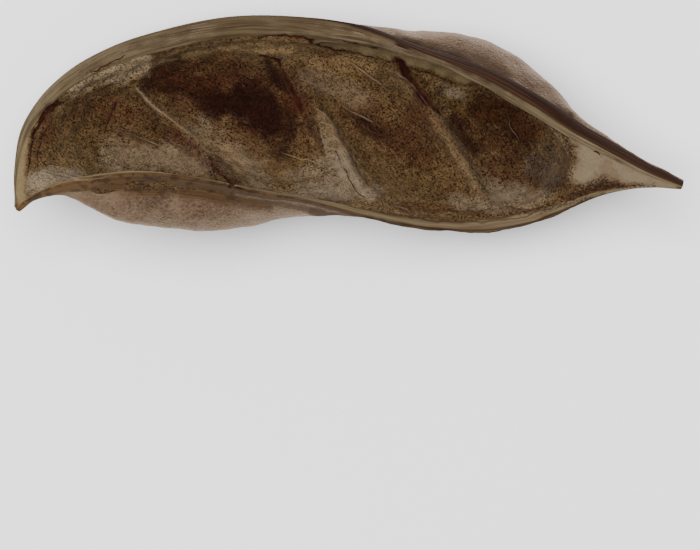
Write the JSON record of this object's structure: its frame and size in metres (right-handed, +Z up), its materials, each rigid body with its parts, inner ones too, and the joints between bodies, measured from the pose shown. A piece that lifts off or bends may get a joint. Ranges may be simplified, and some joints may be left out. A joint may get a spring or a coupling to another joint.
{
  "type": "black bean pod valve",
  "caption": "Dried half of a black bean pod: a twisted, boat-shaped woody valve with seed hollows, lying open side up.",
  "frame": {"origin": "middle of the valve's length and width, on the surface it lies on", "axes": "+X from the stalk end to the beak, +Y to the thick seam, +Z up out of the hollow side"},
  "size_m": [0.154, 0.0504, 0.0384],
  "materials": {
    "pod_wall": "matt, felted brown outside, pale fibrous seams and speckled lining"
  },
  "bodies": {
    "root": {"pod_valve": "pod_wall"}
  },
  "joints": []
}
